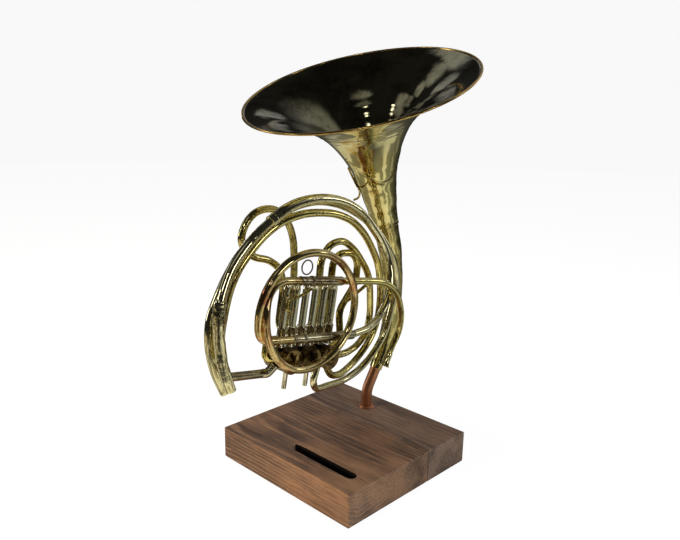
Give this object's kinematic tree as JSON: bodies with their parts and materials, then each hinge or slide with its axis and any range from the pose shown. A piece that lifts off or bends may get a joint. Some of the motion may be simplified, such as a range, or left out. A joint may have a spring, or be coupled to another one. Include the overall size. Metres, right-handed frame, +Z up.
{
  "type": "french horn sound stand",
  "caption": "Single rotary french horn cut down and mounted bell-up on a copper pipe; a slot in the wooden base holds a phone and leads its sound to the bell.",
  "frame": {"origin": "middle of the underside of the felt under the base", "axes": "+X to the right along the base's long grain, +Y to the back, +Z up"},
  "size_m": [0.2798, 0.3661, 0.4969],
  "materials": {
    "walnut": "oiled dark walnut with open grain, satin",
    "felt": "pressed felt",
    "copper": "bare copper, softly toned",
    "brass": "unlacquered yellow brass, polished once and tarnished again",
    "dark_brass": "brass under dark mottled tarnish",
    "nickel": "worn nickel silver"
  },
  "bodies": {
    "horn": {"base_felt": "felt", "base_front_board": "walnut", "base_rear_board": "walnut", "bell_brace_wire": "brass", "bell_ferrule": "brass", "bell_flare": "brass", "bell_rim_wire": "brass", "bell_tail": "brass", "bell_throat": "brass", "brace_rod": "brass", "copper_collar": "copper", "copper_pipe": "copper", "crook_socket_lower": "nickel", "crook_socket_upper": "nickel", "cut_branch": "dark_brass", "cut_ferrule": "brass", "dark_branch": "dark_brass", "first_valve_knuckle": "brass", "inner_bow": "brass", "inner_branch": "brass", "large_bow": "brass", "leadpipe": "brass", "lever_post_1": "brass", "lever_post_2": "brass", "lower_connector": "brass", "lower_connector_elbow": "nickel", "mouthpiece_receiver": "nickel", "outer_branch": "brass", "outer_ferrule": "brass", "rear_branch": "brass", "rear_crook": "brass", "slide_sleeve_pair_1": "nickel", "slide_sleeve_pair_2": "nickel", "slide_sleeve_pair_3": "nickel", "sound_channel_cover": "walnut", "valve_bearing_1": "nickel", "valve_bearing_2": "nickel", "valve_bearing_3": "nickel", "valve_cap_1": "brass", "valve_cap_2": "brass", "valve_cap_3": "brass", "valve_casing_1": "brass", "valve_casing_2": "brass", "valve_casing_3": "brass", "water_key_hook": "brass"},
    "crook": {"crook_coil": "brass", "crook_ferrule_upper": "nickel", "crook_ferrule_lower": "nickel", "crook_pull_ring": "nickel"},
    "rotor_1": {"valve_rotor_1": "brass", "stop_arm_1": "brass"},
    "slide_1": {"valve_slide_1": "brass"},
    "rotor_2": {"valve_rotor_2": "brass", "stop_arm_2": "brass"},
    "slide_2": {"valve_slide_2": "brass"},
    "rotor_3": {"valve_rotor_3": "brass", "stop_arm_3": "brass"},
    "slide_3": {"valve_slide_3": "brass"}
  },
  "joints": [
    {"name": "crook_slide", "type": "slide", "parent": "horn", "child": "crook", "axis": [0, -0.9848, 0.1736], "range_m": [0, 0.03]},
    {"name": "valve_slide_1", "type": "slide", "parent": "horn", "child": "slide_1", "axis": [0, 0.1736, 0.9848], "range_m": [0, 0.015]},
    {"name": "valve_slide_2", "type": "slide", "parent": "horn", "child": "slide_2", "axis": [0, 0.1736, 0.9848], "range_m": [0, 0.015]},
    {"name": "valve_slide_3", "type": "slide", "parent": "horn", "child": "slide_3", "axis": [0, 0.1736, 0.9848], "range_m": [0, 0.015]},
    {"name": "rotor_1", "type": "hinge", "parent": "horn", "child": "rotor_1", "pos_m": [0.012, -0.10921, 0.16433], "axis": [1, 0, 0], "range_deg": [0, 90]},
    {"name": "rotor_2", "type": "hinge", "parent": "horn", "child": "rotor_2", "pos_m": [0.012, -0.08163, 0.15946], "axis": [1, 0, 0], "range_deg": [0, 90]},
    {"name": "rotor_3", "type": "hinge", "parent": "horn", "child": "rotor_3", "pos_m": [0.012, -0.05406, 0.1546], "axis": [1, 0, 0], "range_deg": [0, 90]}
  ]
}
